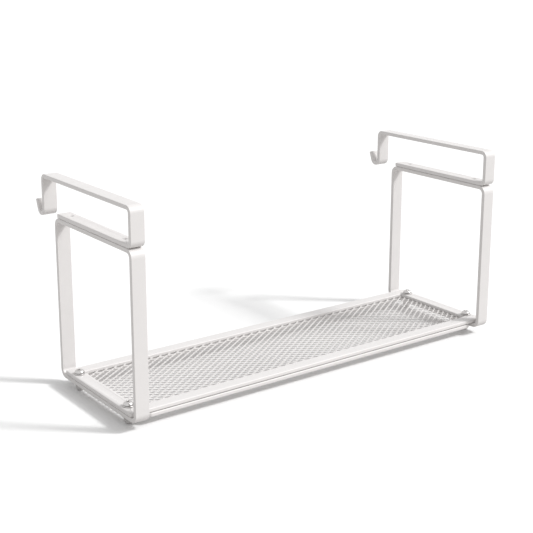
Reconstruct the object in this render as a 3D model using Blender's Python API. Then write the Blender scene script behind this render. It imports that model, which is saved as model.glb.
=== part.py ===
"""Hanging shelf of white powder-coated flat bar.

Two closed side frames carry a flat tray with an expanded-metal floor between them. A hook of the same bar is
screwed on top of each side frame, so the shelf can hang over the top edge of a board or rail.
Lengths are in metres. +X is the shelf's length, +Y its rear, where the hooks reach down, and +Z is up.
The pieces are placed about the middle of the side frames' footprint, with zero at the frames' underside.
"""
import math

import bmesh
import bpy
from mathutils import Vector, geometry

# Clearance between pieces that touch
contact_gap = 0.0003

# Overall sizes
overall_length = 0.500
frame_depth = 0.165
frame_height = 0.180

# Flat bar of the side frames and hooks
bar_width = 0.016
bar_thickness = 0.0045
bar_edge_radius = 0.0006
frame_bend_radius = 0.005

# Hooks: height from their underside, and the slot behind the side frames that takes the board
hook_height = 0.0425
board_slot = 0.0245
hook_bend_radius = 0.003
hook_foot_setback = 0.007

# Curl at the end of each hook's rear leg
curl_bend_radius = 0.004
curl_drop = 0.0045
curl_lip_length = 0.011
curl_turn_degrees = 160

# Tray frame
tray_depth = 0.145
tray_thickness = bar_thickness
border_step = 0.001
tray_corner_radius = 0.003
tray_opening_radius = 0.001
tray_edge_radius = 0.001

# Rails welded under the tray's front and rear borders, between the side frames
rail_width = bar_width
rail_end_clearance = 0.004
rail_front_step = 0.0004
rail_seam = 0.0006
rail_corner_radius = 0.005
rail_edge_radius = 0.001

# Expanded-metal floor: diamonds along X and Y, and the strands between them
diamond_length = 0.0116
diamond_width = 0.008
strand_width = 0.0018
mesh_rim = 0.0012
mesh_recess = 0.0024
smallest_slot = 0.0015

# Screws through the tray and the side frames' bottom bars
tray_screw_radius = 0.003
tray_screw_inset = 0.019
tray_screw_head_radius = 0.00525
tray_screw_head_height = 0.0033
tray_screw_socket = 0.004
tray_screw_socket_depth = 0.002
washer_radius = 0.006
washer_thickness = 0.0012

# Cap nuts under the tray screws, which the shelf stands on
nut_flange_radius = 0.007
nut_flange_thickness = 0.0015
nut_across_flats = 0.010
nut_hex_height = 0.0055
nut_height = 0.0092
nut_shoulder_radius = 0.0046
nut_crown_radius = 0.0022
nut_bore_depth = 0.0072
screw_end_clearance = 0.0008

# Countersunk screws from below through the side frames' top bars into the hooks
hook_screw_radius = 0.0025
hook_screw_inset = 0.0255
hook_screw_head_radius = 0.0046
hook_screw_head_rim = 0.0003
hook_screw_head_sink = 0.0002
hook_screw_socket = 0.003
hook_screw_socket_depth = 0.0015
hook_screw_recess = 0.001

# Rounding of small pieces, and how far a cutter passes the face that it cuts
head_flat_share = 0.25
screw_end_chamfer = 0.0005
cut_overrun = 0.001

# Steps of the curved shapes
bend_steps = 6
curl_steps = 10
edge_steps = 2
dome_steps = 4
sides_of_round = 18

# Places that follow from the sizes
bar_centre_x = (overall_length - bar_width) / 2
frame_top = frame_height
hook_bottom = frame_top + contact_gap
hook_top = hook_bottom + hook_height
front_face = -frame_depth / 2
tray_border = bar_width - border_step
tray_bottom = bar_thickness + contact_gap
tray_top = tray_bottom + tray_thickness
rail_bottom = tray_bottom - rail_seam - bar_thickness
mesh_top = tray_top - mesh_recess
strand_thickness = (tray_thickness - mesh_recess - contact_gap) / 2
tray_screw_y = tray_depth / 2 - tray_screw_inset
hook_screw_y = frame_depth / 2 - hook_screw_inset
washer_bottom = tray_top + contact_gap
tray_head_bottom = washer_bottom + washer_thickness + contact_gap
nut_top = -contact_gap
nut_bottom = nut_top - nut_height
tray_screw_hole = tray_screw_radius + contact_gap
hook_screw_hole = hook_screw_radius + contact_gap

powder_coat = (0.84, 0.825, 0.815)
zinc = (0.62, 0.60, 0.58)


def clear_scene():
    for old in list(bpy.data.objects):
        bpy.data.objects.remove(old, do_unlink=True)


def arc(centre, radius, start_degrees, turn_degrees, steps):
    """Points on an arc, from its start angle through its turn."""
    points = []
    for step in range(steps + 1):
        angle = math.radians(start_degrees + turn_degrees * step / steps)
        points.append(Vector((centre[0] + radius * math.cos(angle), centre[1] + radius * math.sin(angle))))
    return points


def rounded_rectangle(width, depth, radius, steps):
    """A closed outline about the origin, counter-clockwise, with its four corners rounded."""
    points = []
    for turn, (side_x, side_y) in enumerate(((1, 1), (-1, 1), (-1, -1), (1, -1))):
        centre = (side_x * (width / 2 - radius), side_y * (depth / 2 - radius))
        points += arc(centre, radius, 90 * turn, 90, steps)
    return points


def ring_solid(rings, closed):
    """A solid through rings of equal point counts: a closed loop of rings, or a stack with end faces."""
    mesh = bmesh.new()
    rows = []
    for ring in rings:
        rows.append([mesh.verts.new(point) for point in ring])
    pairs = list(zip(rows, rows[1:]))
    if closed:
        pairs.append((rows[-1], rows[0]))
    for row, following in pairs:
        for index in range(len(row)):
            after = (index + 1) % len(row)
            mesh.faces.new((row[index], row[after], following[after], following[index]))
    if not closed:
        mesh.faces.new(rows[0])
        mesh.faces.new(rows[-1])
    bmesh.ops.recalc_face_normals(mesh, faces=mesh.faces)
    return mesh


def add_object(name, mesh, parent, place=(0, 0, 0), rotation=(0, 0, 0), smooth_degrees=35):
    data = bpy.data.meshes.new(name)
    mesh.to_mesh(data)
    mesh.free()
    data.shade_smooth()
    data.set_sharp_from_angle(angle=math.radians(smooth_degrees))
    thing = bpy.data.objects.new(name, data)
    bpy.context.scene.collection.objects.link(thing)
    thing.parent = parent
    thing.location = place
    thing.rotation_euler = rotation
    return thing


def add_material(thing, colour, roughness, metallic):
    material = bpy.data.materials.new(thing.name)
    material.use_nodes = True
    shader = material.node_tree.nodes["Principled BSDF"]
    shader.inputs["Base Color"].default_value = (*colour, 1)
    shader.inputs["Roughness"].default_value = roughness
    shader.inputs["Metallic"].default_value = metallic
    thing.data.materials.append(material)


def drill(thing, name, places, radius, low, high):
    """Cut upright round holes at the given places, from the low to the high level."""
    cut_cones(thing, name, places, radius, radius, low, high)


def countersink(thing, name, places, wide_radius, narrow_radius, face):
    """Cut 45 degree cones upwards from a downward face, where they have the wide radius."""
    depth = wide_radius - narrow_radius
    cut_cones(thing, name, places, wide_radius + cut_overrun, narrow_radius, face - cut_overrun, face + depth)


def cut_cones(thing, name, places, low_radius, high_radius, low, high):
    mesh = bmesh.new()
    for x, y in places:
        made = bmesh.ops.create_cone(
            mesh, cap_ends=True, segments=sides_of_round, radius1=low_radius, radius2=high_radius, depth=high - low)
        bmesh.ops.translate(mesh, verts=made["verts"], vec=(x, y, (low + high) / 2))
    cutter = add_object(name, mesh, thing.parent)
    cutter.hide_render = True
    cutter.display_type = "WIRE"
    cut = thing.modifiers.new("Holes", "BOOLEAN")
    cut.operation = "DIFFERENCE"
    cut.solver = "EXACT"
    cut.object = cutter


# Flat bar, bent in the upright plane of depth and height

def bar_section():
    """Points of the bar's rounded cross-section: across its width, and through its thickness."""
    return rounded_rectangle(bar_width, bar_thickness, bar_edge_radius, edge_steps)


def bar_ring(point, normal, section, shrink):
    """The section set at a point of the bar's middle line, shrunk where the bar ends.

    Its thickness lies along the normal.
    """
    ring = []
    for across, through in section:
        wide = across - math.copysign(shrink, across)
        thick = through - math.copysign(shrink, through)
        ring.append((wide, point.x + normal.x * thick, point.y + normal.y * thick))
    return ring


def middle_line(corners):
    """Points and normals of the bar's middle line through its bends.

    A corner is the bend's centre, its inside radius, the angle of the bar's normal where the bend starts,
    how far it turns, and its steps.
    """
    stations = []
    for centre, inside_radius, start, turn, steps in corners:
        radius = inside_radius + bar_thickness / 2
        for point in arc(centre, radius, start, turn, steps):
            stations.append((point, (point - Vector(centre)).normalized()))
    return stations


def side_frame(name, side, shelf):
    """A closed loop of bar, drilled in its bottom bar for the tray and in its top bar for the hook."""
    reach = bar_thickness + frame_bend_radius
    rear = frame_depth / 2 - reach
    centres = [(rear, frame_top - reach), (-rear, frame_top - reach), (-rear, reach), (rear, reach)]
    corners = []
    for turn, centre in enumerate(centres):
        corners.append((centre, frame_bend_radius, 90 * turn, 90, bend_steps))
    section = bar_section()
    rings = [bar_ring(point, normal, section, 0) for point, normal in middle_line(corners)]
    frame = add_object(name, ring_solid(rings, closed=True), shelf, place=(side * bar_centre_x, 0, 0))
    add_material(frame, powder_coat, 0.45, 0.0)
    centre_x = side * bar_centre_x
    drill(frame, name + "_tray_holes", [(centre_x, -tray_screw_y), (centre_x, tray_screw_y)],
          tray_screw_hole, -cut_overrun, bar_thickness + cut_overrun)
    hook_places = [(centre_x, -hook_screw_y), (centre_x, hook_screw_y)]
    drill(frame, name + "_hook_holes", hook_places,
          hook_screw_hole, frame_top - bar_thickness - cut_overrun, frame_top + cut_overrun)
    # The gap round the head's cone lies square to its 45 degree slope
    widest = hook_screw_head_radius + hook_screw_head_rim + hook_screw_head_sink + contact_gap * math.sqrt(2)
    countersink(frame, name + "_countersinks", hook_places, widest, hook_screw_radius, frame_top - bar_thickness)
    return frame


def hook_stations():
    """The hook's middle line: bottom leg, front leg, top beam, rear leg, curl and lip."""
    middle = bar_thickness / 2
    reach = bar_thickness + hook_bend_radius
    slot_face = frame_depth / 2 + board_slot
    rear_face = slot_face + bar_thickness
    foot_end = Vector((frame_depth / 2 - hook_foot_setback, hook_bottom + middle))
    down = Vector((0, -1))
    curl_reach = bar_thickness + curl_bend_radius
    curl_centre = (slot_face + curl_reach, frame_top - curl_drop + curl_reach)
    stations = [(foot_end, down), (foot_end - Vector((bar_edge_radius, 0)), down)]
    stations += middle_line([
        ((front_face + reach, hook_bottom + reach), hook_bend_radius, 270, -90, bend_steps),
        ((front_face + reach, hook_top - reach), hook_bend_radius, 180, -90, bend_steps),
        ((rear_face - reach, hook_top - reach), hook_bend_radius, 90, -90, bend_steps)])
    curl = middle_line([(curl_centre, curl_bend_radius, 180, curl_turn_degrees, curl_steps)])
    # The curl bends the other way, so its normals are turned round to keep the bar's outer side
    stations += [(point, -normal) for point, normal in curl]
    point, normal = stations[-1]
    along = Vector((normal.y, -normal.x))
    stations.append((point + along * (curl_lip_length - bar_edge_radius), normal))
    stations.append((point + along * curl_lip_length, normal))
    return stations


def hook(name, side, shelf):
    section = bar_section()
    stations = hook_stations()
    rings = []
    for index, (point, normal) in enumerate(stations):
        at_end = index in (0, len(stations) - 1)
        shrink = bar_edge_radius / 2 if at_end else 0
        rings.append(bar_ring(point, normal, section, shrink))
    piece = add_object(name, ring_solid(rings, closed=False), shelf, place=(side * bar_centre_x, 0, 0))
    add_material(piece, powder_coat, 0.45, 0.0)
    centre_x = side * bar_centre_x
    drill(piece, name + "_screw_holes", [(centre_x, -hook_screw_y), (centre_x, hook_screw_y)],
          hook_screw_hole, hook_bottom - cut_overrun, hook_bottom + bar_thickness + cut_overrun)
    return piece


# The tray's frame, rails and floor

def flat_frame(length, depth, border, low, high, corner_radius, opening_radius, edge_radius):
    """A flat rectangular ring with rounded upper and lower edges."""
    rings = []
    for inset, level in section_of_border(border, high - low, edge_radius):
        on_outside = inset < border / 2
        if on_outside:
            radius = max(corner_radius - inset, edge_radius / 2)
        else:
            radius = opening_radius + border - inset
        outline = rounded_rectangle(length - 2 * inset, depth - 2 * inset, radius, bend_steps)
        rings.append([(x, y, low + level) for x, y in outline])
    return ring_solid(rings, closed=True)


def section_of_border(border, height, edge_radius):
    """The border's cross-section, as insets from the outline and levels from the underside."""
    outline = rounded_rectangle(border, height, edge_radius, edge_steps)
    return [(border / 2 - x, height / 2 + y) for x, y in outline]


def tray_frame(shelf):
    piece = add_object("tray_frame", flat_frame(
        overall_length, tray_depth, tray_border, tray_bottom, tray_top,
        tray_corner_radius, tray_opening_radius, tray_edge_radius), shelf)
    add_material(piece, powder_coat, 0.45, 0.0)
    drill(piece, "tray_frame_holes", tray_screw_places(), tray_screw_hole,
          tray_bottom - cut_overrun, tray_top + cut_overrun)
    return piece


def flat_bar(length, width, height, corner_radius, edge_radius):
    """A flat bar with rounded corners and rounded lower and upper edges, its underside at zero."""
    side = arc((edge_radius, edge_radius), edge_radius, 270, -90, edge_steps)
    side += arc((edge_radius, height - edge_radius), edge_radius, 180, -90, edge_steps)
    rings = []
    for inset, level in side:
        outline = rounded_rectangle(length - 2 * inset, width - 2 * inset, corner_radius - inset, bend_steps)
        rings.append([(x, y, level) for x, y in outline])
    return ring_solid(rings, closed=False)


def tray_rail(name, side, shelf):
    """A rail under the tray's front or rear border. Its inner edge reaches under the floor."""
    length = overall_length - 2 * (bar_width + rail_end_clearance)
    middle = side * (tray_depth / 2 + rail_front_step - rail_width / 2)
    bar = flat_bar(length, rail_width, bar_thickness, rail_corner_radius, rail_edge_radius)
    piece = add_object(name, bar, shelf, place=(0, middle, rail_bottom))
    add_material(piece, powder_coat, 0.45, 0.0)
    return piece


def clip_to_level(outline, level, keep_below):
    """The part of a convex outline below, or above, a level of Y."""
    kept = []
    for start, end in zip(outline, outline[1:] + outline[:1]):
        start_in = start.y <= level if keep_below else start.y >= level
        end_in = end.y <= level if keep_below else end.y >= level
        if start_in:
            kept.append(start)
        if start_in != end_in:
            kept.append(start.lerp(end, (level - start.y) / (end.y - start.y)))
    return kept


def slots_between_strands(half_length, half_depth, rise):
    """Slanted slots that leave parallel strands. The rise is the strands' climb in Y for each unit of X."""
    gap = diamond_width - strand_width * math.hypot(1, rise)
    reach = half_depth + abs(rise) * half_length
    count = math.ceil(reach / diamond_width) + 1
    slots = []
    for index in range(-count, count):
        middle = (index + 0.5) * diamond_width
        slot = []
        for side_x, side_y in ((-1, -1), (1, -1), (1, 1), (-1, 1)):
            x = side_x * half_length
            slot.append(Vector((x, middle + rise * x + side_y * gap / 2)))
        slot = clip_to_level(slot, half_depth, True)
        slot = clip_to_level(slot, -half_depth, False) if len(slot) > 2 else []
        if len(slot) > 2 and span(slot) > smallest_slot:
            slots.append(slot)
    return slots


def span(outline):
    """The smaller of an outline's two extents."""
    across = [point.x for point in outline]
    along = [point.y for point in outline]
    return min(max(across) - min(across), max(along) - min(along))


def plate_with_holes(outline, holes, low, high):
    """A flat plate of one thickness, with its holes left open."""
    points = []
    edges = []
    for loop in [outline] + holes:
        first = len(points)
        points += loop
        edges += [(first + index, first + (index + 1) % len(loop)) for index in range(len(loop))]
    plate = list(range(len(outline)))
    inside_with_holes = 2
    merge_distance = strand_width / 1000
    result = geometry.delaunay_2d_cdt(points, edges, [plate], inside_with_holes, merge_distance)
    flat, faces = result[0], result[2]
    mesh = bmesh.new()
    bottom = [mesh.verts.new((point.x, point.y, low)) for point in flat]
    for face in faces:
        mesh.faces.new([bottom[index] for index in face])
    walls = bmesh.ops.extrude_face_region(mesh, geom=mesh.faces[:])
    raised = [item for item in walls["geom"] if isinstance(item, bmesh.types.BMVert)]
    bmesh.ops.translate(mesh, verts=raised, vec=(0, 0, high - low))
    bmesh.ops.recalc_face_normals(mesh, faces=mesh.faces)
    return mesh


def strand_sheet(name, rise, low, shelf):
    """One direction of the floor's strands, with the rim that meets the tray frame."""
    length = overall_length - 2 * (tray_border + contact_gap)
    depth = tray_depth - 2 * (tray_border + contact_gap)
    corner = max(tray_opening_radius - contact_gap, contact_gap)
    outline = rounded_rectangle(length, depth, corner, edge_steps)
    holes = slots_between_strands(length / 2 - mesh_rim, depth / 2 - mesh_rim, rise)
    piece = add_object(name, plate_with_holes(outline, holes, low, low + strand_thickness), shelf)
    add_material(piece, powder_coat, 0.5, 0.0)
    return piece


# Screws, washers and nuts

def circle(radius, level):
    ring = []
    for index in range(sides_of_round):
        angle = 2 * math.pi * index / sides_of_round
        ring.append((radius * math.cos(angle), radius * math.sin(angle), level))
    return ring


def hexagon(across_flats, level):
    """A hexagon with as many points as a circle has."""
    ring = []
    for index in range(sides_of_round):
        angle = 2 * math.pi * index / sides_of_round
        from_flat = (angle % (math.pi / 3)) - math.pi / 6
        radius = across_flats / 2 / math.cos(from_flat)
        ring.append((radius * math.cos(angle), radius * math.sin(angle), level))
    return ring


def dome(low_radius, high_radius, low, high):
    """Rings of a dome that narrows from its low level to its high one."""
    rings = []
    for step in range(dome_steps + 1):
        angle = math.pi / 2 * step / dome_steps
        radius = high_radius + (low_radius - high_radius) * math.cos(angle)
        rings.append(circle(radius, low + (high - low) * math.sin(angle)))
    return rings


def button_screw(radius, length, head_radius, head_height, socket, socket_depth):
    """A dome-head screw with a hexagon socket. Its head stands on zero and its shank runs down."""
    socket_corner = socket / math.sqrt(3)
    flat_radius = socket_corner + head_flat_share * (head_radius - socket_corner)
    rings = [hexagon(socket, head_height - socket_depth), hexagon(socket, head_height)]
    rings += reversed(dome(head_radius, flat_radius, 0, head_height))
    rings.append(circle(radius, 0))
    rings.append(circle(radius, screw_end_chamfer - length))
    rings.append(circle(radius - screw_end_chamfer, -length))
    return ring_solid(rings, closed=False)


def countersunk_screw(radius, length, head_radius, head_rim, socket, socket_depth):
    """A countersunk screw with a hexagon socket. Its head's flat lies at zero and its shank runs down."""
    rings = [hexagon(socket, -socket_depth), hexagon(socket, 0), circle(head_radius, 0),
             circle(head_radius, -head_rim), circle(radius, radius - head_radius - head_rim),
             circle(radius, screw_end_chamfer - length), circle(radius - screw_end_chamfer, -length)]
    return ring_solid(rings, closed=False)


def washer():
    hole = tray_screw_hole
    rings = [circle(hole, 0), circle(washer_radius, 0), circle(washer_radius, washer_thickness),
             circle(hole, washer_thickness)]
    return ring_solid(rings, closed=True)


def cap_nut():
    """A domed nut with its flange and open end at zero, and its crown below."""
    bore = tray_screw_hole
    rings = [circle(bore, -nut_bore_depth), circle(bore, 0),
             circle(nut_flange_radius, 0), circle(nut_flange_radius, -nut_flange_thickness),
             hexagon(nut_across_flats, -nut_flange_thickness), hexagon(nut_across_flats, -nut_hex_height)]
    rings += dome(nut_shoulder_radius, nut_crown_radius, -nut_hex_height, -nut_height)
    return ring_solid(rings, closed=False)


def tray_screw_places():
    places = []
    for side_x in (-1, 1):
        for side_y in (-1, 1):
            places.append((side_x * bar_centre_x, side_y * tray_screw_y))
    return places


def corner_name(x, y):
    return ("left" if x < 0 else "right") + "_" + ("front" if y < 0 else "rear")


def add_tray_fasteners(shelf):
    length = tray_head_bottom - nut_top + nut_bore_depth - screw_end_clearance
    for x, y in tray_screw_places():
        corner = corner_name(x, y)
        screw = button_screw(tray_screw_radius, length, tray_screw_head_radius, tray_screw_head_height,
                             tray_screw_socket, tray_screw_socket_depth)
        pieces = [
            add_object("tray_screw_" + corner, screw, shelf, place=(x, y, tray_head_bottom)),
            add_object("tray_washer_" + corner, washer(), shelf, place=(x, y, washer_bottom)),
            add_object("foot_nut_" + corner, cap_nut(), shelf, place=(x, y, nut_top))]
        for piece in pieces:
            add_material(piece, zinc, 0.3, 1.0)


def add_hook_screws(shelf):
    """Countersunk screws, upside down, with their heads sunk in the undersides of the top bars."""
    head_level = frame_top - bar_thickness + hook_screw_head_sink
    length = hook_bottom + bar_thickness - hook_screw_recess - head_level
    for side in (-1, 1):
        for side_y in (-1, 1):
            x = side * bar_centre_x
            y = side_y * hook_screw_y
            screw = countersunk_screw(hook_screw_radius, length, hook_screw_head_radius, hook_screw_head_rim,
                                      hook_screw_socket, hook_screw_socket_depth)
            piece = add_object("hook_screw_" + corner_name(x, y), screw, shelf,
                               place=(x, y, head_level), rotation=(math.pi, 0, 0))
            add_material(piece, zinc, 0.3, 1.0)


def stand_on_floor(shelf):
    """Move the shelf so that its box is centred about the origin and its feet stand at zero."""
    bpy.context.view_layer.update()
    corners = []
    for thing in shelf.children:
        if not thing.hide_render:
            corners += [thing.matrix_world @ Vector(corner) for corner in thing.bound_box]
    low_y = min(corner.y for corner in corners)
    high_y = max(corner.y for corner in corners)
    shelf.location = (0, -(low_y + high_y) / 2, -nut_bottom)


def build():
    clear_scene()
    shelf = bpy.data.objects.new("shelf", None)
    bpy.context.scene.collection.objects.link(shelf)
    for side, word in ((-1, "left"), (1, "right")):
        side_frame("side_frame_" + word, side, shelf)
        hook("hook_" + word, side, shelf)
    tray_frame(shelf)
    tray_rail("tray_rail_front", -1, shelf)
    tray_rail("tray_rail_rear", 1, shelf)
    rise = diamond_width / diamond_length
    upper_low = mesh_top - strand_thickness
    strand_sheet("mesh_upper_strands", rise, upper_low, shelf)
    strand_sheet("mesh_lower_strands", -rise, upper_low - contact_gap - strand_thickness, shelf)
    add_tray_fasteners(shelf)
    add_hook_screws(shelf)
    stand_on_floor(shelf)


build()
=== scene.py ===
import math

import bmesh
import bpy
from mathutils import Matrix, Vector


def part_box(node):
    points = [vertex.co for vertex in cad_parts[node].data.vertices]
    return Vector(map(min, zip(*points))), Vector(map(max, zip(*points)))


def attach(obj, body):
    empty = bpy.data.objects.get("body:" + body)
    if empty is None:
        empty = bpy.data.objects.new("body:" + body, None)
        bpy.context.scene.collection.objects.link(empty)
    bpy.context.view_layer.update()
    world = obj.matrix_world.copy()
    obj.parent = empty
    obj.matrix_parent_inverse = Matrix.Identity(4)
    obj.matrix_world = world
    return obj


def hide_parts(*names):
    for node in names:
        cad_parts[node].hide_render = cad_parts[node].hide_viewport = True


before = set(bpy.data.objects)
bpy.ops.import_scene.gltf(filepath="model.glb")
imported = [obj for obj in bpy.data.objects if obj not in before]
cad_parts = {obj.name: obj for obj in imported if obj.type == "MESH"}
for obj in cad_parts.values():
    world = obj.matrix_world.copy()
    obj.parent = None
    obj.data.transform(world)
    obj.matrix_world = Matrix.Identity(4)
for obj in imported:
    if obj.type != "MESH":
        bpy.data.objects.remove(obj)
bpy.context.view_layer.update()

# Lengths are in metres. +X runs along the shelf, +Y to its rear and +Z up
MM = 0.001
BODY = "root"
WELD_DISTANCE = 0.001 * MM

# Expanded metal of the tray's floor: a strand runs in steps from bond to bond and eases into both
LONG_PITCH = 11.6 * MM
SHORT_PITCH = 8.0 * MM
STRAND_WIDTH = 1.1 * MM
STRAND_THICKNESS = 0.7 * MM
STRAND_LEAN = math.radians(66)
STRAND_STEPS = 4
STRAND_EASE = 0.2
STRAND_EDGE = 0.14 * MM
STRAND_EDGE_ANGLE = math.radians(40)
BOND_LENGTH = 1.2 * MM

# Round shapes: steps about an axis, over a dome and over a small round
ROUND_STEPS = 64
DOME_STEPS = 12
EDGE_STEPS = 5

# An edge that turns by more than this is rounded or stays sharp, and a cutter reaches past what it cuts
BEVEL_ANGLE = math.radians(35)
SHARP_ANGLE = math.radians(50)
CUTTER_OVERRUN = 0.5 * MM

# Threads: the shank's end and root are shares of its radius, and a crest's ends are shares of the pitch
THREAD_PITCH = 1.0 * MM
THREAD_RUNOUT = 0.05 * MM
SHANK_END = 0.8
THREAD_ROOT = 0.87
CREST_START = 0.4
CREST_END = 0.6

# Tray screws: the edge and the socket's floor are shares of the head's height, the flat of its radius
TRAY_SHANK_RADIUS = 3.0 * MM
TRAY_SOCKET_FLATS = 4.0 * MM
TRAY_SCREW_EDGE = 0.08 * MM
HEAD_EDGE = 0.12
HEAD_FLAT = 0.3
SOCKET_FLOOR = 0.45

# Washers: the rounded edge is a share of the thickness
WASHER_BORE_RADIUS = 3.2 * MM
WASHER_CLEARANCE = 0.3 * MM
WASHER_EDGE = 0.22

# Cap nuts: the shoulder is a share of the width across flats, the crown's flat of its radius, the chamfer of
# the corners' reach past the flats, and the flange's round of its edge. The turned body passes just inside
# the hexagon's flats and just outside its corners
NUT_FLATS = 10.0 * MM
NUT_HEXAGON_REACH = 5.5 * MM
NUT_CROWN_RADIUS = 2.2 * MM
NUT_FLANGE_THICKNESS = 1.5 * MM
NUT_FLANGE_EDGE = 1.1 * MM
NUT_EDGE = 0.07 * MM
NUT_SHOULDER = 0.46
NUT_CROWN_FLAT = 0.8
NUT_CHAMFER = 0.7
NUT_FLANGE_ROUND = 0.45
JUST_INSIDE = 0.98
JUST_OUTSIDE = 1.01

# Hook screws: the rim is the straight side of the countersunk head
HOOK_SHANK_RADIUS = 2.5 * MM
HOOK_SOCKET_FLATS = 3.0 * MM
HOOK_SOCKET_DEPTH = 1.5 * MM
HOOK_HEAD_RIM = 0.3 * MM
HOOK_HEAD_EDGE = 0.1 * MM
HOOK_SCREW_EDGE = 0.05 * MM

# Camera: a square picture, seen from the left front and a little above. Angles are in degrees
PICTURE_SIDE = 533
PRINCIPAL_POINT = (275.654, 217.253)
FOCAL_PIXELS = 1114.125
SENSOR_WIDTH_MM = 36.0
CAMERA_PLACE = (-0.748227, -1.004778, 0.473398)
CAMERA_HEADING = 36.642
CAMERA_TILT = 13.830
CAMERA_ROLL = 0.169

# Light from the right front: a key in a wider glow, and an even surround. Angles and spreads are in degrees,
# and shares are of the light that falls on the floor
KEY_HEADING = 42.5
KEY_HEIGHT = 41.5
KEY_SHARE = 0.36
KEY_SPREAD = 8.0
GLOW_SHARE = 0.22
GLOW_SPREAD = 34.0
SURROUND_SHARE = 0.58
FLOOR_SIDE = 60.0
FLOOR_SEEN = (0.97, 0.97, 0.97)
FLOOR_BOUNCE = (0.59, 0.58, 0.57)
WHITE = (1, 1, 1, 1)

# Surfaces. Noise stays mostly within its range and is stretched from there
COAT_COLOUR = (0.74, 0.719, 0.711)
# The mesh wears the frame's white powder coat, but its colour is set darker than the coat's: painted shade
# for the dimmer look of the mesh
MESH_COLOUR_WITH_PAINTED_SHADE = (0.67, 0.648, 0.64)
PLATING_COLOUR = (0.60, 0.585, 0.578)
NOISE_RANGE = (0.3, 0.7)


def new_material(name):
    """A material with its node tree and Principled shader."""
    material = bpy.data.materials.new(name)
    material.use_nodes = True
    tree = material.node_tree
    return material, tree, tree.nodes["Principled BSDF"]


def add_node(tree, kind, inputs=None, **settings):
    """A node with its settings and socket values."""
    node = tree.nodes.new(kind)
    for key, value in settings.items():
        setattr(node, key, value)
    for key, value in (inputs or {}).items():
        node.inputs[key].default_value = value
    return node


def noise(tree, place, waves, detail):
    """Noise in the object's own coordinates, in waves per metre."""
    node = add_node(tree, "ShaderNodeTexNoise", {"Scale": waves, "Detail": detail})
    tree.links.new(place.outputs["Object"], node.inputs["Vector"])
    return node.outputs["Fac"]


def vary_tone(tree, shader, place, colour, waves, darkest, lightest):
    """Base colour that wanders between two shares of the colour."""
    ramp = add_node(tree, "ShaderNodeValToRGB")
    for element, position, share in zip(ramp.color_ramp.elements, NOISE_RANGE, (darkest, lightest)):
        element.position = position
        element.color = (*[min(1, channel * share) for channel in colour], 1)
    tree.links.new(noise(tree, place, waves, detail=3.0), ramp.inputs["Fac"])
    tree.links.new(ramp.outputs["Color"], shader.inputs["Base Color"])


def vary_gloss(tree, shader, place, waves, detail, low, high):
    """Roughness that wanders between low and high."""
    start, end = NOISE_RANGE
    limits = {"From Min": start, "From Max": end, "To Min": low, "To Max": high}
    span = add_node(tree, "ShaderNodeMapRange", limits)
    tree.links.new(noise(tree, place, waves, detail), span.inputs["Value"])
    tree.links.new(span.outputs["Result"], shader.inputs["Roughness"])


def add_bump(tree, place, waves, strength, depth):
    """Small unevenness of the surface."""
    bump = add_node(tree, "ShaderNodeBump", {"Strength": strength, "Distance": depth})
    tree.links.new(noise(tree, place, waves, detail=1.0), bump.inputs["Height"])
    return bump


def powder_coat(name, colour):
    """Satin powder coat: a fine orange peel over slow unevenness, and faint changes of tone."""
    material, tree, shader = new_material(name)
    place = add_node(tree, "ShaderNodeTexCoord")
    shader.inputs["IOR"].default_value = 1.5
    shader.inputs["Coat Weight"].default_value = 0.08
    shader.inputs["Coat Roughness"].default_value = 0.35
    vary_tone(tree, shader, place, colour, waves=38.0, darkest=0.985, lightest=1.012)
    vary_gloss(tree, shader, place, waves=160.0, detail=2.0, low=0.38, high=0.5)
    slow = add_bump(tree, place, waves=420.0, strength=0.25, depth=0.05 * MM)
    fine = add_bump(tree, place, waves=1500.0, strength=0.3, depth=0.02 * MM)
    tree.links.new(slow.outputs["Normal"], fine.inputs["Normal"])
    tree.links.new(fine.outputs["Normal"], shader.inputs["Normal"])
    return material


def plated_steel():
    """Bright plated steel with faint turning marks and slightly uneven gloss."""
    material, tree, shader = new_material("plated_steel_look")
    place = add_node(tree, "ShaderNodeTexCoord")
    shader.inputs["Metallic"].default_value = 1.0
    vary_tone(tree, shader, place, PLATING_COLOUR, waves=900.0, darkest=0.9, lightest=1.08)
    vary_gloss(tree, shader, place, waves=500.0, detail=3.0, low=0.24, high=0.36)
    marks = add_bump(tree, place, waves=1800.0, strength=0.12, depth=0.03 * MM)
    tree.links.new(marks.outputs["Normal"], shader.inputs["Normal"])
    return material


def link_object(name, data):
    """A new object in the scene."""
    thing = bpy.data.objects.new(name, data)
    bpy.context.scene.collection.objects.link(thing)
    return thing


def mesh_of(shape, name):
    """The shape as a mesh. The shape is used up."""
    mesh = bpy.data.meshes.new(name)
    shape.to_mesh(mesh)
    shape.free()
    return mesh


def closed_mesh(shape, name):
    """The mesh of a closed shape, with its faces turned outwards."""
    bmesh.ops.recalc_face_normals(shape, faces=shape.faces)
    return mesh_of(shape, name)


def solid_object(shape, name):
    """A closed shape as an object."""
    return link_object(name, closed_mesh(shape, name))


def bevel_edges(thing, width, segments, angle):
    """Rounds the edges that turn by more than the angle."""
    edge = thing.modifiers.new("rounded edges", "BEVEL")
    edge.width = width
    edge.segments = segments
    edge.limit_method = "ANGLE"
    edge.angle_limit = angle
    return edge


def smooth_round(mesh):
    """Smooth shading that keeps the sharp edges."""
    mesh.shade_smooth()
    mesh.set_sharp_from_angle(angle=SHARP_ANGLE)


def add_piece(name, mesh, slot, *nodes, place=(0, 0, 0)):
    """A piece that stands for CAD nodes, on the fixed body."""
    piece = link_object(name, mesh)
    piece.location = place
    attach(piece, BODY)
    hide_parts(*nodes)
    return piece


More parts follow.
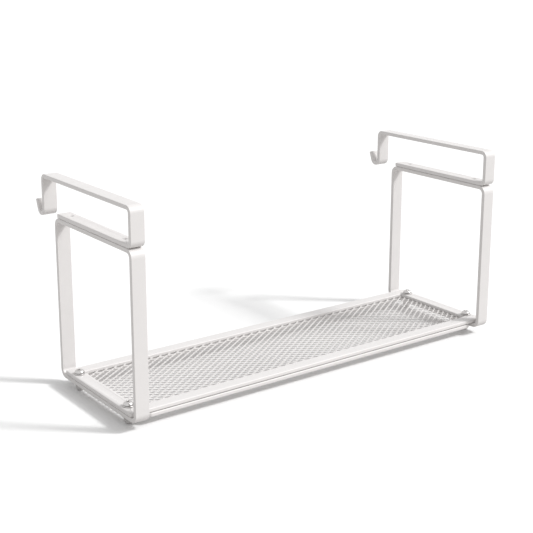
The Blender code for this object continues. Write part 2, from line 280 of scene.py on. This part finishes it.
def dress_bar(node, material):
    """A painted bar keeps its solid: its triangles are joined for smooth shading of the rounded edges."""
    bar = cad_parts[node]
    mesh = bar.data
    custom = mesh.attributes.get("custom_normal")
    if custom:
        mesh.attributes.remove(custom)
    mesh.shade_smooth()
    weld = bar.modifiers.new("join triangles", "WELD")
    weld.merge_threshold = WELD_DISTANCE
    normals = bar.modifiers.new("flat faces stay flat", "WEIGHTED_NORMAL")
    normals.mode = "FACE_AREA_WITH_ANGLE"
    normals.weight = 100
    normals.thresh = 0.01
    normals.keep_sharp = False
    for slot in bar.material_slots:
        slot.material = material


def ribbon_path(row, first, last):
    """Middle line of the zigzag ribbon between bond rows row and row + 1, over a run of columns."""
    rise = STRAND_WIDTH * math.sin(STRAND_LEAN)
    lean = STRAND_WIDTH * math.cos(STRAND_LEAN)
    stations = []
    for column in range(first, last + 1):
        low = (column + row) % 2 == 0
        side = 1 if low else -1
        bond_y = (row if low else row + 1) * SHORT_PITCH / 2
        middle = column * LONG_PITCH / 2
        for end in (-1, 1):
            stations.append((middle + end * BOND_LENGTH / 2, bond_y + side * lean / 2, side * rise / 2))
    path = []
    for (x0, y0, z0), (x1, y1, z1) in zip(stations, stations[1:]):
        steps = 1 if y0 == y1 else STRAND_STEPS
        for step in range(steps):
            share = step / steps
            eased = share - STRAND_EASE * math.sin(math.tau * share) / math.tau
            path.append(Vector((x0 + (x1 - x0) * share, y0 + (y1 - y0) * eased, z0 + (z1 - z0) * eased)))
    path.append(Vector(stations[-1]))
    return path


def lay_ribbons(shape, centre, columns, rows):
    """Adds the zigzag ribbons, which meet at their bonds and lean towards the front."""
    across = Vector((0, math.cos(STRAND_LEAN), math.sin(STRAND_LEAN))) * STRAND_WIDTH / 2
    through = Vector((0, -math.sin(STRAND_LEAN), math.cos(STRAND_LEAN))) * STRAND_THICKNESS / 2
    corners = (-across - through, across - through, across + through, -across + through)
    for row in range(-rows, rows):
        previous = None
        for point in ribbon_path(row, -columns, columns):
            ring = [shape.verts.new(centre + point + corner) for corner in corners]
            if previous:
                for k in range(len(corners)):
                    shape.faces.new((previous[k], previous[k - 1], ring[k - 1], ring[k]))
            previous = ring
    bmesh.ops.remove_doubles(shape, verts=shape.verts, dist=WELD_DISTANCE)
    bmesh.ops.dissolve_degenerate(shape, dist=WELD_DISTANCE / 2, edges=shape.edges)


def trim_sides(shape, centre, half_length, half_depth):
    """Cuts off what lies past the floor's four sides."""
    for normal, reach in (((1, 0, 0), half_length), ((0, 1, 0), half_depth)):
        for side in (-1, 1):
            outward = Vector(normal) * side
            everything = shape.verts[:] + shape.edges[:] + shape.faces[:]
            bmesh.ops.bisect_plane(
                shape, geom=everything, plane_co=centre + outward * reach, plane_no=outward, clear_outer=True
            )


def close_surface(shape):
    """Takes out the faces between two bonded ribbons, and closes the cut ends."""
    inner = [edge for edge in shape.edges if len(edge.link_faces) > 2]
    bonded = {
        face
        for edge in inner
        for face in edge.link_faces
        if all(len(other.link_faces) > 2 for other in face.edges)
    }
    bmesh.ops.delete(shape, geom=list(bonded), context="FACES")
    open_edges = [edge for edge in shape.edges if len(edge.link_faces) == 1]
    bmesh.ops.holes_fill(shape, edges=open_edges, sides=0)


def add_expanded_metal(material):
    """The tray's floor: slit sheet drawn out into diamonds."""
    low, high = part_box("mesh_upper_strands")
    under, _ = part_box("mesh_lower_strands")
    centre = Vector(((low.x + high.x) / 2, (low.y + high.y) / 2, (under.z + high.z) / 2))
    half_length = (high.x - low.x) / 2
    half_depth = (high.y - low.y) / 2
    columns = math.ceil(2 * half_length / LONG_PITCH) + 1
    rows = math.ceil(2 * half_depth / SHORT_PITCH) + 1

    shape = bmesh.new()
    lay_ribbons(shape, centre, columns, rows)
    trim_sides(shape, centre, half_length, half_depth)
    close_surface(shape)
    mesh = closed_mesh(shape, "tray_mesh_look")
    mesh.materials.append(material)
    mesh.shade_smooth()
    piece = add_piece("tray_mesh_look", mesh, "coated_mesh", "mesh_upper_strands", "mesh_lower_strands")
    edge = bevel_edges(piece, STRAND_EDGE, segments=1, angle=STRAND_EDGE_ANGLE)
    edge.harden_normals = True


def add_ring(shape, radius, height, count):
    """Corners of a level polygon round the axis."""
    angles = [math.tau * k / count for k in range(count)]
    return [shape.verts.new((radius * math.cos(a), radius * math.sin(a), height)) for a in angles]


def lathe(profile, closed=False):
    """A round body from (radius, height) points, from axis to axis or round a ring's closed section."""
    shape = bmesh.new()
    rings = [add_ring(shape, radius, height, ROUND_STEPS if radius else 1) for radius, height in profile]
    following = rings[1:] + rings[:1] if closed else rings[1:]
    for lower, upper in zip(rings, following):
        for k in range(ROUND_STEPS):
            turned = (k + 1) % ROUND_STEPS
            spots = ((lower, k), (lower, turned), (upper, turned), (upper, k))
            corners = list(dict.fromkeys(ring[spot % len(ring)] for ring, spot in spots))
            if len(corners) > 2:
                shape.faces.new(corners)
    return shape


def arc(centre, radii, start, end, steps=EDGE_STEPS):
    """Points of an elliptic arc in a profile, from start to end in degrees."""
    points = []
    for step in range(steps + 1):
        angle = math.radians(start + (end - start) * step / steps)
        points.append((centre[0] + radii[0] * math.cos(angle), centre[1] + radii[1] * math.sin(angle)))
    return points


def hexagon_solid(across_flats, low, high):
    """An upright hexagonal prism."""
    shape = bmesh.new()
    bottom, top = [add_ring(shape, across_flats / math.sqrt(3), height, 6) for height in (low, high)]
    shape.faces.new(bottom[::-1])
    shape.faces.new(top)
    for k in range(len(top)):
        shape.faces.new((bottom[k - 1], bottom[k], top[k], top[k - 1]))
    return shape


def mesh_with_modifiers(thing):
    """The object's mesh after its modifiers. The object is used up."""
    bpy.context.view_layer.update()
    result = bpy.data.meshes.new_from_object(thing.evaluated_get(bpy.context.evaluated_depsgraph_get()))
    bpy.data.objects.remove(thing)
    return result


def combine(base, other, operation):
    """The mesh of base after a Boolean with other. Both objects are used up."""
    step = base.modifiers.new("combine", "BOOLEAN")
    step.operation = operation
    step.object = other
    result = mesh_with_modifiers(base)
    bpy.data.objects.remove(other)
    return result


def cut_socket(shape, name, across_flats, low, high):
    """The mesh of a screw after its hexagon socket is cut between two heights."""
    hole = hexagon_solid(across_flats, low, high)
    return combine(solid_object(shape, name), solid_object(hole, name + "_socket"), "DIFFERENCE")


def finish_fastener(mesh, material, name, edge_width):
    """A fastener's mesh with its material and with its edges rounded for good."""
    mesh.materials.clear()
    mesh.materials.append(material)
    holder = link_object(name, mesh)
    bevel_edges(holder, edge_width, segments=2, angle=BEVEL_ANGLE)
    result = mesh_with_modifiers(holder)
    result.name = name
    smooth_round(result)
    return result


def threaded_shank(radius, low, high):
    """Profile of a screw's shank with a cut thread, from its end on the axis up to its head."""
    profile = [(0, low), (radius * SHANK_END, low)]
    root = radius * THREAD_ROOT
    height = low + THREAD_PITCH / 2
    for _ in range(int((high - low - THREAD_PITCH) / THREAD_PITCH)):
        profile.append((root, height))
        profile += [(radius, height + THREAD_PITCH * share) for share in (CREST_START, CREST_END)]
        height += THREAD_PITCH
    last_crest = min(height + THREAD_PITCH * CREST_START, high - THREAD_RUNOUT)
    return profile + [(root, height), (radius, last_crest), (radius, high)]


def dome_screw_mesh(material, head_radius, head_height, reach):
    """A dome-head socket screw, its head's underside at height zero and its shank downwards."""
    name = "tray_screw"
    edge = head_height * HEAD_EDGE
    flat = head_radius * HEAD_FLAT
    profile = threaded_shank(TRAY_SHANK_RADIUS, -reach, 0)
    profile += [(head_radius - edge / 2, 0), (head_radius, edge / 2)]
    profile += arc((flat, edge), (head_radius - flat, head_height - edge), 0, 90, DOME_STEPS)
    profile.append((0, head_height))
    mesh = cut_socket(
        lathe(profile), name, TRAY_SOCKET_FLATS, head_height * SOCKET_FLOOR, head_height + CUTTER_OVERRUN
    )
    return finish_fastener(mesh, material, name, TRAY_SCREW_EDGE)


def countersunk_screw_mesh(material, head_radius, reach):
    """A countersunk socket screw, its head's flat face at height zero and its shank downwards."""
    name = "hook_screw"
    profile = threaded_shank(HOOK_SHANK_RADIUS, -reach, HOOK_SHANK_RADIUS - head_radius - HOOK_HEAD_RIM)
    profile += [(head_radius, -HOOK_HEAD_RIM), (head_radius, -HOOK_HEAD_EDGE)]
    profile += [(head_radius - HOOK_HEAD_EDGE, 0), (0, 0)]
    mesh = cut_socket(lathe(profile), name, HOOK_SOCKET_FLATS, -HOOK_SOCKET_DEPTH, CUTTER_OVERRUN)
    return finish_fastener(mesh, material, name, HOOK_SCREW_EDGE)


def washer_mesh(material, radius, height):
    """A flat washer with rounded edges, its underside at height zero."""
    edge = height * WASHER_EDGE
    outer, inner = radius - edge, WASHER_BORE_RADIUS + edge
    low, high = edge, height - edge
    outline = []
    for across, level, start in ((outer, low, -90), (outer, high, 0), (inner, high, 90), (inner, low, 180)):
        outline += arc((across, level), (edge, edge), start, start + 90)
    mesh = closed_mesh(lathe(outline, closed=True), "washer")
    mesh.materials.append(material)
    smooth_round(mesh)
    return mesh


def cap_nut_mesh(material, flange_radius, height):
    """A low cap nut standing on its crown: flange and hexagon above, dome below, its seat at height zero."""
    name = "cap_nut"
    flat = NUT_FLATS / 2
    corner = NUT_FLATS / math.sqrt(3)
    crown = NUT_CROWN_RADIUS * NUT_CROWN_FLAT
    chamfer = (corner - flat) * NUT_CHAMFER
    dome_radii = (NUT_FLATS * NUT_SHOULDER - crown, height - NUT_HEXAGON_REACH)
    profile = [(0, -height)] + arc((crown, -NUT_HEXAGON_REACH), dome_radii, -90, 0, DOME_STEPS)
    profile.append((flat * JUST_INSIDE, -NUT_HEXAGON_REACH))
    profile.append((corner * JUST_OUTSIDE, -NUT_HEXAGON_REACH + chamfer))
    profile += [(corner * JUST_OUTSIDE, -NUT_FLANGE_EDGE / 2), (0, -NUT_FLANGE_EDGE / 2)]
    prism = hexagon_solid(NUT_FLATS, -height - CUTTER_OVERRUN, CUTTER_OVERRUN)
    crowned = combine(solid_object(lathe(profile), name), solid_object(prism, name + "_prism"), "INTERSECT")

    edge = NUT_FLANGE_EDGE * NUT_FLANGE_ROUND
    rim = flange_radius - edge
    outline = [(0, -NUT_FLANGE_THICKNESS), (corner, -NUT_FLANGE_THICKNESS), (rim, -NUT_FLANGE_EDGE)]
    outline += arc((rim, edge - NUT_FLANGE_EDGE), (edge, edge), -60, 0)
    outline += arc((rim, -edge), (edge, edge), 0, 90) + [(0, 0)]
    flange = solid_object(lathe(outline), name + "_flange")
    whole = combine(link_object(name, crowned), flange, "UNION")
    return finish_fastener(whole, material, name, NUT_EDGE)


def corner_nodes(kind):
    """The CAD nodes of the four fasteners of a kind."""
    return [f"{kind}_{side}_{end}" for side in ("left", "right") for end in ("front", "rear")]


def round_size(nodes):
    """Radius, bottom and top of a round fastener, taken from the first of its nodes."""
    low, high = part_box(nodes[0])
    return (high.x - low.x) / 2, low.z, high.z


def place_copies(mesh, nodes, height):
    """One copy of a fastener at each of its CAD nodes, its origin at the height."""
    for node in nodes:
        low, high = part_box(node)
        place = ((low.x + high.x) / 2, (low.y + high.y) / 2, height)
        add_piece(node + "_look", mesh, "plated_steel", node, place=place)


def add_fasteners(material):
    """Tray screws on their washers, the cap nuts below them, and the hook screws, which point up."""
    washers = corner_nodes("tray_washer")
    radius, bottom, top = round_size(washers)
    place_copies(washer_mesh(material, radius, top - bottom), washers, bottom)

    seat = top + WASHER_CLEARANCE
    screws = corner_nodes("tray_screw")
    radius, bottom, top = round_size(screws)
    place_copies(dome_screw_mesh(material, radius, top - seat, seat - bottom), screws, seat)

    nuts = corner_nodes("foot_nut")
    radius, bottom, top = round_size(nuts)
    place_copies(cap_nut_mesh(material, radius, top - bottom), nuts, top)

    screws = corner_nodes("hook_screw")
    radius, bottom, top = round_size(screws)
    screw = countersunk_screw_mesh(material, radius, top - bottom)
    screw.transform(Matrix.Rotation(math.pi, 4, "X"))
    place_copies(screw, screws, bottom)


def seen_directly(tree):
    """One where a ray comes from the camera, a mirror or a clear body, and zero where it gathers light."""
    path = add_node(tree, "ShaderNodeLightPath")
    either = add_node(tree, "ShaderNodeMath", operation="MAXIMUM")
    tree.links.new(path.outputs["Is Camera Ray"], either.inputs[0])
    tree.links.new(path.outputs["Is Glossy Ray"], either.inputs[1])
    seen = add_node(tree, "ShaderNodeMath", operation="MAXIMUM")
    tree.links.new(either.outputs["Value"], seen.inputs[0])
    tree.links.new(path.outputs["Is Transmission Ray"], seen.inputs[1])
    return seen.outputs["Value"]


def floor_material():
    """Pale floor: white to the camera and in reflections, darker as it lights the object from below."""
    material, tree, shader = new_material("studio_floor")
    shader.inputs["Roughness"].default_value = 1.0
    shader.inputs["Specular IOR Level"].default_value = 0.0
    colour = add_node(tree, "ShaderNodeMix", data_type="RGBA")
    colour.inputs["A"].default_value = (*FLOOR_BOUNCE, 1)
    colour.inputs["B"].default_value = (*FLOOR_SEEN, 1)
    tree.links.new(seen_directly(tree), colour.inputs["Factor"])
    tree.links.new(colour.outputs["Result"], shader.inputs["Base Color"])
    return material


def add_floor():
    """A square floor at height zero."""
    shape = bmesh.new()
    bmesh.ops.create_grid(shape, x_segments=1, y_segments=1, size=FLOOR_SIDE / 2)
    mesh = mesh_of(shape, "studio_floor")
    mesh.materials.append(floor_material())
    floor = link_object("studio_floor", mesh)


def add_light():
    """A soft key and a wider glow round it, and an even world that the camera sees as white."""
    heading = math.radians(KEY_HEADING)
    height = math.radians(KEY_HEIGHT)
    towards = Vector(
        (math.cos(height) * math.cos(heading), -math.cos(height) * math.sin(heading), math.sin(height))
    )
    for name, share, wide in (("key", KEY_SHARE, KEY_SPREAD), ("glow", GLOW_SHARE, GLOW_SPREAD)):
        light = bpy.data.lights.new(name, "SUN")
        light.energy = share * math.pi / math.sin(height)
        light.angle = math.radians(wide)
        lamp = link_object(name, light)
        lamp.rotation_euler = towards.to_track_quat("Z", "Y").to_euler()

    world = bpy.data.worlds.new("studio")
    world.use_nodes = True
    bpy.context.scene.world = world
    tree = world.node_tree
    tree.nodes.clear()
    around = add_node(tree, "ShaderNodeBackground", {"Color": WHITE, "Strength": SURROUND_SHARE})
    backdrop = add_node(tree, "ShaderNodeBackground", {"Color": WHITE, "Strength": 1.0})
    either = add_node(tree, "ShaderNodeMixShader")
    output = add_node(tree, "ShaderNodeOutputWorld")
    tree.links.new(seen_directly(tree), either.inputs["Fac"])
    tree.links.new(around.outputs["Background"], either.inputs[1])
    tree.links.new(backdrop.outputs["Background"], either.inputs[2])
    tree.links.new(either.outputs["Shader"], output.inputs["Surface"])


def add_camera():
    """The camera that took the photograph, with its shift from the picture's middle."""
    lens = bpy.data.cameras.new("camera")
    lens.sensor_width = SENSOR_WIDTH_MM
    lens.lens = FOCAL_PIXELS / PICTURE_SIDE * SENSOR_WIDTH_MM
    lens.shift_x = (PICTURE_SIDE / 2 - PRINCIPAL_POINT[0]) / PICTURE_SIDE
    lens.shift_y = (PRINCIPAL_POINT[1] - PICTURE_SIDE / 2) / PICTURE_SIDE
    lens.clip_end = 2 * FLOOR_SIDE
    camera = link_object("camera", lens)
    camera.location = CAMERA_PLACE
    turns = ((-CAMERA_HEADING, "Z"), (90 - CAMERA_TILT, "X"), (CAMERA_ROLL, "Z"))
    heading, tilt, roll = [Matrix.Rotation(math.radians(angle), 3, axis) for angle, axis in turns]
    camera.rotation_euler = (heading @ tilt @ roll).to_euler()
    bpy.context.scene.camera = camera


coat = powder_coat("powder_coat_look", COAT_COLOUR)
frames = ("side_frame_left", "side_frame_right", "hook_left", "hook_right")
for node in (*frames, "tray_frame", "tray_rail_front", "tray_rail_rear"):
    dress_bar(node, coat)
# The mesh gets a darker copy of the frame's coat, as painted shade
add_expanded_metal(powder_coat("coated_mesh_painted_shade_look", MESH_COLOUR_WITH_PAINTED_SHADE))
add_fasteners(plated_steel())
add_floor()
add_light()
add_camera()
bpy.context.scene.view_settings.view_transform = "Standard"
